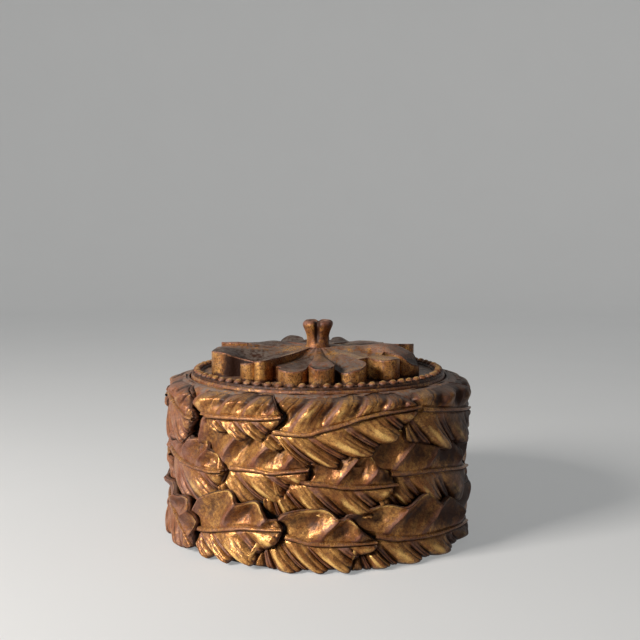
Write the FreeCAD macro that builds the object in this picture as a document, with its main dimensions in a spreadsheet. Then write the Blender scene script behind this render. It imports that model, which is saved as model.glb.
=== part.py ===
import FreeCAD, Part
import math
import os

import Sketcher
from FreeCAD import Placement, Rotation, Vector

# A round carved and gilded wooden bowl with a lift-off lid.
# The axis is Z, the bowl stands on Z = 0 and its front faces -Y.

SIZES = {
    # Turned bowl
    "drum_radius": 121.0,
    "bowl_height": 136.0,
    "drum_wall": 17.0,
    "base_thickness": 12.0,
    "base_fit": 0.15,
    # Rim round the seat that the lid drops into
    "rim_overhang": 7.0,
    "rim_edge": 5.2,
    "rim_fall": 3.4,
    "rim_round": 1.5,
    "seat_depth": 9.0,
    "seat_width": 9.0,
    # Carved leaves
    "leaf_root": 6.0,
    "leaf_tip": 12.0,
    "leaf_gap": 2.0,
    "leaf_undercut": 1.5,
    "tip_length": 30.0,
    "tip_width": 3.2,
    "rib_height": 2.2,
    "rib_width": 4.0,
    "lobe_pitch": 21.0,
    "lobe_crest": 2.4,
    "vein_hollow": 2.2,
    "glue_line": 0.1,
    "floor_gap": 1.0,
    "course_gap": 0.8,
    "course_wave": 7.0,
    # Lid
    "lid_gap": 1.5,
    "lid_thickness": 11.5,
    "lid_round": 2.5,
    "lid_hollow": 3.0,
    "lid_land": 13.0,
    # Beaded border
    "bead_radius": 3.5,
    "bead_pitch": 9.4,
    "bead_inset": 5.0,
    "strip_height": 1.2,
    "strip_width": 8.0,
    # Petals on the lid
    "petal_height": 26.0,
    "petal_margin": 22.5,
    "petal_kerf": 0.9,
    # Knob and its dowel
    "knob_seat": 21.5,
    "knob_clearance": 0.9,
    "knob_height": 23.5,
    "knob_foot": 10.8,
    "knob_waist": 10.2,
    "knob_waist_height": 7.0,
    "knob_flare": 13.6,
    "knob_flare_height": 18.0,
    "knob_crown": 8.5,
    "knob_dimple": 3.5,
    "cleft_radius": 2.6,
    "cleft_start": 5.0,
    "dowel_radius": 5.0,
    "dowel_depth": 12.0,
    "dowel_fit": 0.1,
}

PETALS = 6
KNOB_LOBES = 4
FRONT = -90.0
FULL_TURN = 360.0

# Each leaf of a course: its tip's bearing, in degrees to the right of the front, and the
# shares of the course's height at which its midrib starts and ends.
UPPER_LEAVES = (
    (-84, 0.5, 0.6), (-52, 0.7, 0.48), (-13, 0.54, 0.74), (40, 0.26, 0.82), (82, 0.7, 0.5),
    (122, 0.4, 0.6), (162, 0.6, 0.5), (202, 0.4, 0.65), (240, 0.6, 0.5),
)
MIDDLE_LEAVES = (
    (-74, 0.5, 0.6), (-38, 0.64, 0.36), (-4, 0.4, 0.78), (31, 0.55, 0.2), (74, 0.32, 0.3),
    (116, 0.45, 0.6), (158, 0.6, 0.4), (200, 0.4, 0.6), (243, 0.6, 0.5),
)
LOWER_LEAVES = (
    (-53, 0.5, 0.4), (-13, 0.37, 0.64), (22, 0.5, 0.38), (75, 0.44, 0.4), (114, 0.45, 0.55),
    (153, 0.55, 0.45), (192, 0.45, 0.55), (231, 0.55, 0.45), (269, 0.45, 0.5),
)

# Shares of the height under the rim at which the middle and upper courses start. The line
# between two courses waves up and down round the drum, with a low at this bearing.
MIDDLE_SHARE = 0.397
UPPER_SHARE = 0.726
COURSE_WAVES = 5
WAVE_LOW = 3.5

# Shares that shape a leaf: how far its veins lean to the tip, where they stop fanning out
# from the root, how far the edge draws in between two lobes, and the steps over one lobe.
VEIN_LEAN = 0.6
FAN_END = 0.5
EDGE_DRAW = 0.9
HALF_WING = 0.5
LOBE_STEPS = ((0.0, False), (0.32, True), (0.72, True))

# The petals from the front one round to the right. Each has the share of the reach at which the
# web between its lobes ends, its lobes as (degrees off its middle, half of the width in degrees,
# share of the reach), and the shares of its height along the lines across its carved top. The
# lines follow one another outward, and each runs from left to right, seen from the end.
FLAT_LINE = (0.83, 0.83, 0.83, 0.83, 0.83)
PETAL_SHAPES = (
    (0.81, ((-14.8, 9.2, 1.0), (2.3, 7.5, 1.01), (21, 8.5, 1.0)),
     (FLAT_LINE, (0.56, 0.53, 0.68, 0.60, 0.73), (0.51, 0.46, 0.66, 0.48, 0.67),
      (0.52, 0.45, 0.64, 0.40, 0.60), (0.53, 0.44, 0.53, 0.33, 0.56))),
    (0.74, ((-13.3, 7.6, 1.0), (9, 10.5, 1.03)),
     (FLAT_LINE, (0.73, 0.82, 0.91, 0.96, 0.92), (0.67, 0.74, 0.93, 0.99, 0.88),
      (0.60, 0.71, 0.73, 0.71, 0.70), (0.56, 0.69, 0.50, 0.33, 0.50))),
    (0.81, ((-19, 8, 0.98), (0, 7, 0.94), (18.5, 8.5, 0.98)),
     (FLAT_LINE, (0.92, 0.86, 0.80, 0.82, 0.80), (0.90, 0.85, 0.75, 0.77, 0.76),
      (0.88, 0.83, 0.73, 0.72, 0.66), (0.86, 0.81, 0.71, 0.69, 0.60))),
    (0.81, ((-17, 7, 0.97), (0, 8, 0.99), (19, 8, 0.98)),
     (FLAT_LINE, (0.80, 0.78, 0.75, 0.78, 0.80), (0.74, 0.71, 0.70, 0.71, 0.74),
      (0.64, 0.79, 0.85, 0.79, 0.64), (0.56, 0.80, 0.89, 0.80, 0.56))),
    (0.81, ((-19, 8, 0.98), (0, 7, 0.95), (18.5, 8.5, 0.99)),
     (FLAT_LINE, (0.80, 0.82, 0.80, 0.86, 0.92), (0.76, 0.77, 0.79, 0.88, 0.97),
      (0.66, 0.71, 0.77, 0.88, 0.95), (0.60, 0.69, 0.75, 0.87, 0.94))),
    (0.70, ((-14, 10.8, 1.06), (15.7, 5.7, 0.985), (25.6, 4, 0.975)),
     (FLAT_LINE, (0.92, 0.74, 0.68, 0.69, 0.76), (0.97, 0.68, 0.46, 0.52, 0.71),
      (0.82, 0.83, 0.56, 0.54, 0.71), (0.70, 0.79, 0.66, 0.58, 0.72))),
)
# Shares of the reach at which the lines lie, and how far past the petal the cut above it goes.
LINE_PLACES = (0.1, 0.4, 0.7, 0.9, 1.0)
CUT_OVERRUN = 1.2
# A lobe's straight part is this share of its round end's width, so that it runs into it.
STEM_SHARE = 0.95

# Two places closer than this are the same.
TOUCH = 0.01

doc = FreeCAD.newDocument("LiddedBowl")
sheet = doc.addObject("Spreadsheet::Sheet", "Sizes")
for row, (alias, number) in enumerate(SIZES.items(), start=1):
    sheet.set(f"A{row}", alias)
    sheet.set(f"B{row}", str(number))
    sheet.setAlias(f"B{row}", alias)
doc.recompute()


class Size:
    """A length known both as a number and as the sheet expression that gives it."""

    def __init__(self, number, text):
        self.number = float(number)
        self.text = text

    def __add__(self, other):
        other = as_size(other)
        return Size(self.number + other.number, f"({self.text} + {other.text})")

    def __sub__(self, other):
        other = as_size(other)
        return Size(self.number - other.number, f"({self.text} - {other.text})")

    def __mul__(self, other):
        other = as_size(other)
        return Size(self.number * other.number, f"({self.text} * {other.text})")

    def __truediv__(self, other):
        other = as_size(other)
        return Size(self.number / other.number, f"({self.text} / {other.text})")


def as_size(value):
    return value if isinstance(value, Size) else Size(value, repr(float(value)))


def size(alias):
    return Size(getattr(sheet, alias), f"Sizes.{alias}")


def bind(target, path, value):
    target.setExpression(path, as_size(value).text)


# Places shared by several pieces
ZERO = as_size(0.0)
drum_radius = size("drum_radius")
inner_radius = drum_radius - size("drum_wall")
rim_top = size("bowl_height")
rim_under = rim_top - size("rim_edge")
middle_course = rim_under * MIDDLE_SHARE
upper_course = rim_under * UPPER_SHARE
rim_radius = drum_radius + size("rim_overhang")
seat_level = rim_top - size("seat_depth")
rebate_radius = inner_radius + size("seat_width")
lid_radius = rebate_radius - size("lid_gap")
lid_top = seat_level + size("lid_thickness")
bead_circle = lid_radius - size("bead_inset")
petal_reach = lid_radius - size("petal_margin")
knob_seat = lid_top + size("knob_seat")
dowel_radius = size("dowel_radius")
dowel_hole = dowel_radius + size("dowel_fit")

pieces = []


def keep(piece, label):
    piece.Label = label
    pieces.append(piece)
    return piece


def origin_feature(body, role):
    return next(feature for feature in body.Origin.OriginFeatures if feature.Role == role)


def turned(name, corners):
    """Revolve a closed profile of straight lines between (radius, level) corners about Z."""
    body = doc.addObject("PartDesign::Body", name)
    sketch = body.newObject("Sketcher::SketchObject", f"{name}_profile")
    sketch.AttachmentSupport = (origin_feature(body, "XZ_Plane"), [""])
    sketch.MapMode = "FlatFace"
    spots = [Vector(radius.number, level.number, 0) for radius, level in corners]
    for start, end in zip(spots, spots[1:] + spots[:1]):
        sketch.addGeometry(Part.LineSegment(start, end))
    for edge in range(len(corners)):
        following = (edge + 1) % len(corners)
        sketch.addConstraint(Sketcher.Constraint("Coincident", edge, 2, following, 1))
    for edge, (radius, level) in enumerate(corners):
        for kind, axis, distance in (("DistanceX", -2, radius), ("DistanceY", -1, level)):
            if distance is ZERO:
                sketch.addConstraint(Sketcher.Constraint("PointOnObject", edge, 1, axis))
                continue
            rule = Sketcher.Constraint(kind, -1, 1, edge, 1, distance.number)
            rule_name = f"corner_{edge}_{kind}"
            sketch.renameConstraint(sketch.addConstraint(rule), rule_name)
            bind(sketch, f"Constraints.{rule_name}", distance)
    turn = body.newObject("PartDesign::Revolution", f"{name}_turn")
    turn.Profile = sketch
    turn.ReferenceAxis = (sketch, ["V_Axis"])
    turn.Angle = FULL_TURN
    doc.recompute()
    return body


def soften(body, radius, corners):
    """Round the turned edges at the given (radius, level) corners."""
    base = body.Tip
    names = []
    for index, edge in enumerate(base.Shape.Edges, start=1):
        for corner_radius, level in corners:
            at_level = abs(edge.CenterOfMass.z - level.number) < TOUCH
            if at_level and abs(edge.BoundBox.XMax - corner_radius.number) < TOUCH:
                names.append(f"Edge{index}")
    fillet = body.newObject("PartDesign::Fillet", f"{body.Name}_round")
    fillet.Base = (base, names)
    bind(fillet, "Radius", radius)
    body.Tip = fillet
    doc.recompute()


def cylinder(name, radius, height, x=ZERO, y=ZERO, z=ZERO):
    round_bar = doc.addObject("Part::Cylinder", name)
    bind(round_bar, "Radius", radius)
    bind(round_bar, "Height", height)
    for path, value in (("x", x), ("y", y), ("z", z)):
        bind(round_bar, f"Placement.Base.{path}", value)
    return round_bar


# Turned bowl
keep(turned("drum_wall", [
    (inner_radius, ZERO),
    (drum_radius, ZERO),
    (drum_radius, seat_level),
    (inner_radius, seat_level),
]), "drum_wall")

keep(cylinder("base_board", inner_radius - size("base_fit"), size("base_thickness")), "base_board")

rim_lip = rim_top - size("rim_fall")
rim = turned("rim_ring", [
    (rebate_radius, seat_level),
    (drum_radius, seat_level),
    (drum_radius, rim_under),
    (rim_radius, rim_under),
    (rim_radius, rim_lip),
    (rebate_radius, rim_top),
])
soften(rim, size("rim_round"), [(rim_radius, rim_lip)])
keep(rim, "rim_ring")

# Lid
lid_under = seat_level + size("lid_hollow")
land_radius = lid_radius - size("lid_land")
lid = turned("lid_board", [
    (dowel_hole, lid_under),
    (land_radius, lid_under),
    (land_radius, seat_level),
    (lid_radius, seat_level),
    (lid_radius, lid_top),
    (dowel_hole, lid_top),
])
soften(lid, size("lid_round"), [(lid_radius, lid_top)])
keep(lid, "lid_board")


def bead_border():
    """A turned strip with half-round beads all the way round."""
    half_strip = size("strip_width") * 0.5
    strip_top = lid_top + size("strip_height")
    body = turned("bead_border", [
        (bead_circle - half_strip, lid_top),
        (bead_circle + half_strip, lid_top),
        (bead_circle + half_strip, strip_top),
        (bead_circle - half_strip, strip_top),
    ])
    bead = body.newObject("PartDesign::AdditiveSphere", "bead")
    bead.AttachmentSupport = (origin_feature(body, "XY_Plane"), [""])
    bead.MapMode = "FlatFace"
    bead.Angle1 = 0
    bind(bead, "Radius", size("bead_radius"))
    bind(bead, "AttachmentOffset.Base.x", bead_circle)
    bind(bead, "AttachmentOffset.Base.z", strip_top)
    doc.recompute()
    beads = body.newObject("PartDesign::PolarPattern", "beads")
    beads.Originals = [bead]
    beads.Axis = (origin_feature(body, "Z_Axis"), [""])
    beads.Angle = FULL_TURN
    beads.Occurrences = round(2 * math.pi * bead_circle.number / sheet.bead_pitch)
    body.Tip = beads
    doc.recompute()
    return body


keep(bead_border(), "bead_border")


def wedge(name, radius, height, middle, angle):
    """A sector of a disc, its middle at the given degrees from +X."""
    sector = cylinder(name, radius, height)
    bind(sector, "Angle", angle)
    bind(sector, "Placement.Rotation.Angle", as_size(middle) - as_size(angle) * 0.5)
    return sector


def carved_away(lines):
    """What is carved off above a petal's top, lofted through the lines across it."""
    reach = petal_reach.number
    ceiling = sheet.petal_height * CUT_OVERRUN
    half_sector = FULL_TURN / PETALS / 2
    stations = list(zip(LINE_PLACES, lines))
    stations.append((LINE_PLACES[-1] * CUT_OVERRUN, lines[-1]))
    sections = []
    for place, shares in stations:
        across = [half_sector * (2 * number / (len(shares) - 1) - 1) for number in range(len(shares))]
        across = [across[0] * CUT_OVERRUN, *across, across[-1] * CUT_OVERRUN]
        levels = [share * sheet.petal_height for share in (shares[0], *shares, shares[-1])]
        line = [Vector(place * reach, place * reach * math.tan(math.radians(degrees)), level)
                for degrees, level in zip(across, levels)]
        edge = Part.BSplineCurve()
        edge.interpolate(line)
        above = [Vector(spot.x, spot.y, ceiling) for spot in (line[-1], line[0])]
        sides = Part.makePolygon([line[-1], *above, line[0]])
        sections.append(Part.Wire([edge.toShape(), *sides.Edges]))
    return Part.makeLoft(sections, True)


def petal(index, web_share, lobes, lines):
    """A thick petal along +X: a sawn slab with lobes at its end, carved over its top."""
    name = f"lid_petal_{index}"
    height = size("petal_height")
    kerf = size("petal_kerf") / petal_reach * math.degrees(1)
    web = wedge(f"{name}_web", petal_reach * web_share, height, 0.0, as_size(FULL_TURN / PETALS) - kerf)
    slab_parts = [web]
    for number, (degrees, half_width, share) in enumerate(lobes, start=1):
        bearing = math.radians(degrees)
        spread = math.sin(math.radians(half_width))
        heart = petal_reach * (share / (1 + spread))
        slab_parts.append(wedge(
            f"{name}_stem_{number}", heart, height, degrees, 2 * half_width * STEM_SHARE))
        slab_parts.append(cylinder(
            f"{name}_lobe_{number}", heart * spread, height,
            x=heart * math.cos(bearing), y=heart * math.sin(bearing)))
    slab = doc.addObject("Part::MultiFuse", f"{name}_slab")
    slab.Shapes = slab_parts

    carving = doc.addObject("Part::Feature", f"{name}_carving")
    carving.Shape = carved_away(lines)
    blank = doc.addObject("Part::Cut", f"{name}_blank")
    blank.Base = slab
    blank.Tool = carving
    bore = cylinder(f"{name}_bore", dowel_hole, height)
    seat = cylinder(
        f"{name}_seat", size("knob_foot") + size("knob_clearance"), height, z=size("knob_seat"))
    middle = doc.addObject("Part::MultiFuse", f"{name}_middle")
    middle.Shapes = [bore, seat]
    carved = doc.addObject("Part::Cut", name)
    carved.Base = blank
    carved.Tool = middle
    carved.Placement.Rotation = Rotation(Vector(0, 0, 1), FRONT + (index - 1) * FULL_TURN / PETALS)
    bind(carved, "Placement.Base.z", lid_top)
    doc.recompute()
    return carved


for number, (web_share, lobes, lines) in enumerate(PETAL_SHAPES, start=1):
    keep(petal(number, web_share, lobes, lines), f"lid_petal_{number}")


def knob():
    """A bud lofted through round sections, cleft into lobes, with a hole for its dowel."""
    body = doc.addObject("PartDesign::Body", "knob")
    sections = (
        (size("knob_foot"), ZERO),
        (size("knob_waist"), size("knob_waist_height")),
        (size("knob_flare"), size("knob_flare_height")),
        (size("knob_crown"), size("knob_height")),
    )
    rings = []
    for number, (radius, level) in enumerate(sections, start=1):
        ring = body.newObject("Sketcher::SketchObject", f"knob_section_{number}")
        ring.AttachmentSupport = (origin_feature(body, "XY_Plane"), [""])
        ring.MapMode = "FlatFace"
        bind(ring, "AttachmentOffset.Base.z", level)
        ring.addGeometry(Part.Circle(Vector(), Vector(0, 0, 1), radius.number))
        ring.addConstraint(Sketcher.Constraint("Coincident", 0, 3, -1, 1))
        ring.renameConstraint(
            ring.addConstraint(Sketcher.Constraint("Radius", 0, radius.number)), "radius")
        bind(ring, "Constraints.radius", radius)
        rings.append(ring)
    bud = body.newObject("PartDesign::AdditiveLoft", "knob_bud")
    bud.Profile = rings[0]
    bud.Sections = rings[1:]
    doc.recompute()
    flat = origin_feature(body, "XY_Plane")
    dimple = body.newObject("PartDesign::SubtractiveCone", "knob_dimple_cut")
    hole = body.newObject("PartDesign::SubtractiveCylinder", "knob_hole")
    cleft = body.newObject("PartDesign::SubtractiveCylinder", "knob_cleft")
    for cut in (dimple, hole, cleft):
        cut.AttachmentSupport = (flat, [""])
        cut.MapMode = "FlatFace"
    bind(dimple, "Radius1", ZERO)
    bind(dimple, "Radius2", size("knob_crown"))
    bind(dimple, "Height", size("knob_dimple"))
    bind(dimple, "AttachmentOffset.Base.z", size("knob_height") - size("knob_dimple"))
    bind(hole, "Radius", dowel_hole)
    bind(hole, "Height", size("dowel_depth"))
    bind(cleft, "Radius", size("cleft_radius"))
    bind(cleft, "Height", size("knob_height"))
    bind(cleft, "AttachmentOffset.Base.x", size("knob_flare"))
    bind(cleft, "AttachmentOffset.Base.z", size("cleft_start"))
    doc.recompute()
    clefts = body.newObject("PartDesign::PolarPattern", "knob_clefts")
    clefts.Originals = [cleft]
    clefts.Axis = (origin_feature(body, "Z_Axis"), [""])
    clefts.Angle = FULL_TURN
    clefts.Occurrences = KNOB_LOBES
    body.Tip = clefts
    bind(body, "Placement.Base.z", knob_seat)
    doc.recompute()
    return body


keep(knob(), "knob")

dowel_length = knob_seat + size("dowel_depth") - size("dowel_fit") - lid_under
keep(cylinder("knob_dowel", dowel_radius, dowel_length, z=lid_under), "knob_dowel")


class Leaf:
    """Where one leaf lies on the drum: arc lengths are from the front, to the right."""

    def __init__(self, layout, floor, ceiling):
        bearing, self.start_share, self.end_share = layout
        self.floor = floor
        self.ceiling = ceiling
        self.before = None
        self.tip_along = math.radians(bearing) * drum_radius.number
        self.tip_level = self.level(self.tip_along, self.end_share)

    def level(self, along, share):
        """Level at a share of the course's height."""
        return self.floor(along) + (self.ceiling(along) - self.floor(along)) * share

    def tip_front(self, level):
        """Arc length at which the pointed tip's outline passes a level."""
        shoulder = self.tip_along - sheet.tip_length
        edge = self.ceiling(shoulder) if level > self.tip_level else self.floor(shoulder)
        room = abs(edge - self.tip_level)
        share = abs(level - self.tip_level) / room
        return self.tip_along - share * (sheet.tip_length - VEIN_LEAN * room)

    def root_front(self, level):
        """Arc length at which the root passes a level, just clear of the leaf before."""
        along = self.before.tip_front(level) + sheet.leaf_gap
        turn = 2 * math.pi * drum_radius.number
        return along - turn if along > self.tip_along else along

    def settle(self):
        """Find the root once the leaf before is known."""
        behind = self.root_front(self.before.tip_level)
        self.root_level = self.level(behind, self.start_share)
        self.root_along = self.root_front(self.root_level)
        self.length = self.tip_along - self.root_along

    def midrib(self, share):
        along = self.root_along + self.length * share
        height_share = self.start_share + (self.end_share - self.start_share) * share
        at_root = self.root_level - self.level(self.root_along, self.start_share)
        return along, self.level(along, height_share) + at_root * (1 - share)


def leaf_row(leaf, share, on_lobe):
    """One line of points across a leaf, from its lower edge over the midrib to its upper edge.

    Each point is (arc length, level, height off the drum)."""
    along, level = leaf.midrib(share)
    narrowing = min(1.0, leaf.length * (1 - share) / sheet.tip_length)
    spread = min(1.0, share / FAN_END)
    draw = 1.0 if on_lobe else EDGE_DRAW
    base = sheet.leaf_root + (sheet.leaf_tip - sheet.leaf_root) * share
    wings = {}
    for side, edge in ((-1, leaf.floor), (1, leaf.ceiling)):
        width = max(abs(edge(along) - level) * narrowing * draw, sheet.tip_width / 2)
        root_width = abs(edge(leaf.root_along) - leaf.root_level) * draw
        foot = min(sheet.rib_width / 2, width * HALF_WING) / width
        half = HALF_WING * (1 + foot)
        # At the root this column passes the tip of the leaf before.
        tip_across = side * (leaf.before.tip_level - leaf.root_level) / root_width
        if foot < tip_across < 1:
            half = half * spread + tip_across * (1 - spread)
        wing = []
        for across in (foot, half, 1.0):
            fan = leaf.root_front(leaf.root_level + side * across * root_width) - leaf.root_along
            point_along = along + fan * (1 - spread) + VEIN_LEAN * across * width * spread
            point_level = level + side * across * width
            if side * (point_level - edge(point_along)) > 0:
                point_level = edge(point_along)
            point_along = max(point_along, leaf.root_front(point_level))
            point_along = min(point_along, leaf.tip_front(point_level))
            swell = 0.0
            if across > foot:
                swell = sheet.lobe_crest * across if on_lobe else -sheet.vein_hollow
            wing.append((point_along, point_level, base + swell))
        wings[side] = wing
    crest = (along, level, base + sheet.rib_height)
    return wings[-1][::-1] + [crest] + wings[1]


def on_drum(point, radius):
    along, level, _ = point
    bearing = math.radians(FRONT) + along / drum_radius.number
    return Vector(radius * math.cos(bearing), radius * math.sin(bearing), level)


def leaf_solid(leaf):
    """A leaf carved in flat cuts from lobe to vein to lobe, its back hollowed to the drum."""
    lobes = max(2, round(leaf.length / sheet.lobe_pitch))
    rows = [leaf_row(leaf, (lobe + step) / lobes, on_lobe)
            for lobe in range(lobes) for step, on_lobe in LOBE_STEPS]
    rows.append(leaf_row(leaf, 1.0, False))
    columns = len(rows[0])
    seat = drum_radius.number + sheet.glue_line
    face_points = []
    back_points = []
    for row in rows:
        face_points += [on_drum(point, drum_radius.number + point[2]) for point in row]
        lower_step = min(sheet.leaf_undercut, HALF_WING * (row[1][1] - row[0][1]))
        upper_step = min(sheet.leaf_undercut, HALF_WING * (row[-1][1] - row[-2][1]))
        steps = [lower_step] + [0.0] * (columns - 2) + [-upper_step]
        for (along, level, _), step in zip(row, steps):
            back_points.append(on_drum((along, level + step, 0), seat - sheet.leaf_root))
    points = face_points + back_points
    shift = len(face_points)
    facets = []
    for row in range(len(rows) - 1):
        for column in range(columns - 1):
            a = row * columns + column
            b = a + 1
            c = a + columns + 1
            d = a + columns
            facets += [(a, d, b), (b, d, c)]
            facets += [(a + shift, b + shift, d + shift), (b + shift, c + shift, d + shift)]
    last_row = (len(rows) - 1) * columns
    border = list(range(columns))
    border += [row * columns + columns - 1 for row in range(1, len(rows))]
    border += [last_row + column for column in range(columns - 2, -1, -1)]
    border += [row * columns for row in range(len(rows) - 2, 0, -1)]
    for here, there in zip(border, border[1:] + border[:1]):
        facets += [(here, there, here + shift), (there, there + shift, here + shift)]
    skin = Part.Shape()
    skin.makeShapeFromMesh((points, facets), TOUCH)
    blank = Part.makeSolid(skin)
    if blank.Volume < 0:
        blank.reverse()
    core = Part.makeCylinder(seat, rim_top.number)
    return blank.cut(core)


def course_line(mean, offset):
    """The waving line between two courses, as a function of arc length."""
    def line(along):
        bearing = along / drum_radius.number - math.radians(WAVE_LOW)
        return mean.number - sheet.course_wave * math.cos(COURSE_WAVES * bearing) + offset
    return line


def leaf_course(name, layouts, floor, ceiling):
    leaves = [Leaf(layout, floor, ceiling) for layout in layouts]
    for number, leaf in enumerate(leaves):
        leaf.before = leaves[number - 1]
        leaf.settle()
    for number, leaf in enumerate(leaves, start=1):
        piece = doc.addObject("Part::Feature", f"{name}_leaf_{number}")
        piece.Shape = leaf_solid(leaf)
        piece.Placement = Placement()
        keep(piece, f"{name}_leaf_{number}")


half_gap = sheet.course_gap / 2
leaf_course("upper", UPPER_LEAVES, course_line(upper_course, half_gap),
            lambda along: rim_under.number - sheet.course_gap)
leaf_course("middle", MIDDLE_LEAVES, course_line(middle_course, half_gap),
            course_line(upper_course, -half_gap))
leaf_course("lower", LOWER_LEAVES, lambda along: sheet.floor_gap,
            course_line(middle_course, -half_gap))

doc.recompute()
for item in doc.Objects:
    if "Invalid" in item.State or "Error" in item.State:
        raise RuntimeError(f"{item.Name} did not build: {item.State}")
for piece in pieces:
    solids = piece.Shape.Solids
    if piece.Shape.isNull() or not piece.Shape.isValid() or len(solids) != 1:
        raise RuntimeError(f"{piece.Label} is not one valid solid ({len(solids)} solids)")

os.makedirs("parts", exist_ok=True)
for piece in pieces:
    piece.Shape.exportStep(f"parts/{piece.Label}.step")
print(f"{len(pieces)} pieces written")
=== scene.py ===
import math

import bpy
import numpy as np
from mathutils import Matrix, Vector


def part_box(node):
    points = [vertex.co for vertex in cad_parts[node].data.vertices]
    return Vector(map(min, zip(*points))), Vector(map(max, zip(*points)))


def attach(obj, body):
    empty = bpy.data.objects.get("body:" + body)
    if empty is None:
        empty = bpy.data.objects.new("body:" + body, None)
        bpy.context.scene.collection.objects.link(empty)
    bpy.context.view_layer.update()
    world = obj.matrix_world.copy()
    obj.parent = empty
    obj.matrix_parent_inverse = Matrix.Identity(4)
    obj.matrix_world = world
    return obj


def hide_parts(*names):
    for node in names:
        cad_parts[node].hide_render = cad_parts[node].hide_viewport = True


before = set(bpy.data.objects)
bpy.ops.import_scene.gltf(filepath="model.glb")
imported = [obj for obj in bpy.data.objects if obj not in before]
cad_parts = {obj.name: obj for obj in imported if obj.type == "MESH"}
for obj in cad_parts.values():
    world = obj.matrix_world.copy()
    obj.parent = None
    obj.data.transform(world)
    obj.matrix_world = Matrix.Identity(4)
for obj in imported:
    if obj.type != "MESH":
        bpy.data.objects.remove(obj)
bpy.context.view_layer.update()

# Lengths in the shaping code are millimetres, as in the CAD; meshes are written in metres.
MM = 0.001
FRONT = math.radians(-90)
TURN = 2 * math.pi


def node_box(node):
    low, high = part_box(node)
    return [value / MM for value in low], [value / MM for value in high]


_, drum_high = node_box("drum_wall")
_, rim_high = node_box("rim_ring")
_, lid_high = node_box("lid_board")
bead_low, bead_high = node_box("bead_border")
knob_low, _ = node_box("knob")

DRUM = drum_high[0]
LID_GAP = 1.5
RIM_INNER = lid_high[0] + LID_GAP
RIM_TOP = rim_high[2]
RIM_EDGE = 5.2
RIM_UNDER = RIM_TOP - RIM_EDGE
LID_TOP = lid_high[2]
BEAD_REACH = (bead_high[0] - bead_low[0]) / 2
KNOB_SEAT = knob_low[2]


def smooth(value):
    value = np.clip(value, 0.0, 1.0)
    return value * value * (3 - 2 * value)


def bell(value, middle, spread):
    """1 at the middle, falling to 0 on both sides."""
    return np.exp(-((value - middle) / spread) ** 2)


def dome(value, middle, half_width):
    """A half circle over the middle, 0 outside it."""
    return np.sqrt(np.maximum(1 - ((value - middle) / half_width) ** 2, 0.0))


def table(*fields):
    """Fields spread to one shape, as the columns of a table."""
    return np.stack([field.ravel() for field in np.broadcast_arrays(*fields)], axis=1)


def around(radius, turn, level):
    """Points at a distance from the axis, an angle round it and a level."""
    return table(radius * np.cos(turn), radius * np.sin(turn), level)


def full_turn(columns):
    return np.linspace(0, TURN, columns, endpoint=False)


def left_of(steps):
    """Unit vectors to the left of the steps of a line."""
    left = np.stack([-steps[:, 1], steps[:, 0]], axis=1)
    return left / np.maximum(np.linalg.norm(left, axis=1, keepdims=True), 1e-6)


def new_object(name, points, faces, masks=None):
    """A smooth mesh object from points in millimetres, with its carving masks: wear, painted shade and
    highlight.
    """
    mesh = bpy.data.meshes.new(name)
    mesh.from_pydata([tuple(point) for point in points * MM], [], faces)
    mesh.polygons.foreach_set("use_smooth", [True] * len(mesh.polygons))
    if masks is not None:
        carve = mesh.color_attributes.new("carve", "FLOAT_COLOR", "POINT")
        carve.data.foreach_set("color", masks[:, :4].ravel())
        if masks.shape[1] > 4:
            streak = mesh.attributes.new("streak", "FLOAT_VECTOR", "POINT")
            streak.data.foreach_set("vector", masks[:, 4:].ravel())
    mesh.validate()
    mesh.update()
    obj = bpy.data.objects.new(name, mesh)
    bpy.context.scene.collection.objects.link(obj)
    return obj


def strips(loops, closed):
    """Faces between each row of indices and the next."""
    faces = []
    for first, second in zip(loops, loops[1:]):
        for here in range(len(first) if closed else len(first) - 1):
            following = (here + 1) % len(first)
            faces.append((first[here], first[following], second[following], second[here]))
    return faces


def grid_faces(rows, columns, closed=False):
    return strips([range(row * columns, (row + 1) * columns) for row in range(rows)], closed)


def flipped(faces):
    return [face[::-1] for face in faces]


def grid_border(rows, columns):
    """Indices round the outside of a grid, counterclockwise in (column, row)."""
    grid = np.arange(rows * columns).reshape(rows, columns)
    return np.concatenate([grid[0], grid[1:, -1], grid[-1, -2::-1], grid[-2:0:-1, 0]]).tolist()


def ring_loops(border, start, count):
    """A border, and the indices of the rings of points that follow it."""
    size = len(border)
    return [border] + [range(start + ring * size, start + (ring + 1) * size) for ring in range(count)]


def joined(parts):
    """Points, faces and masks of several meshes as one."""
    faces = []
    start = 0
    for points, part_faces, _ in parts:
        faces += [tuple(index + start for index in face) for face in part_faces]
        start += len(points)
    points, _, masks = zip(*parts)
    return np.concatenate(points), faces, np.concatenate(masks)


def blurred(field, reach):
    """Box blur of a 2-D field with edges repeated."""
    padded = np.pad(field, reach, mode="edge")
    total = np.zeros_like(field)
    width = 2 * reach + 1
    for row in range(width):
        for column in range(width):
            total += padded[row:row + field.shape[0], column:column + field.shape[1]]
    return total / width ** 2


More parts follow.
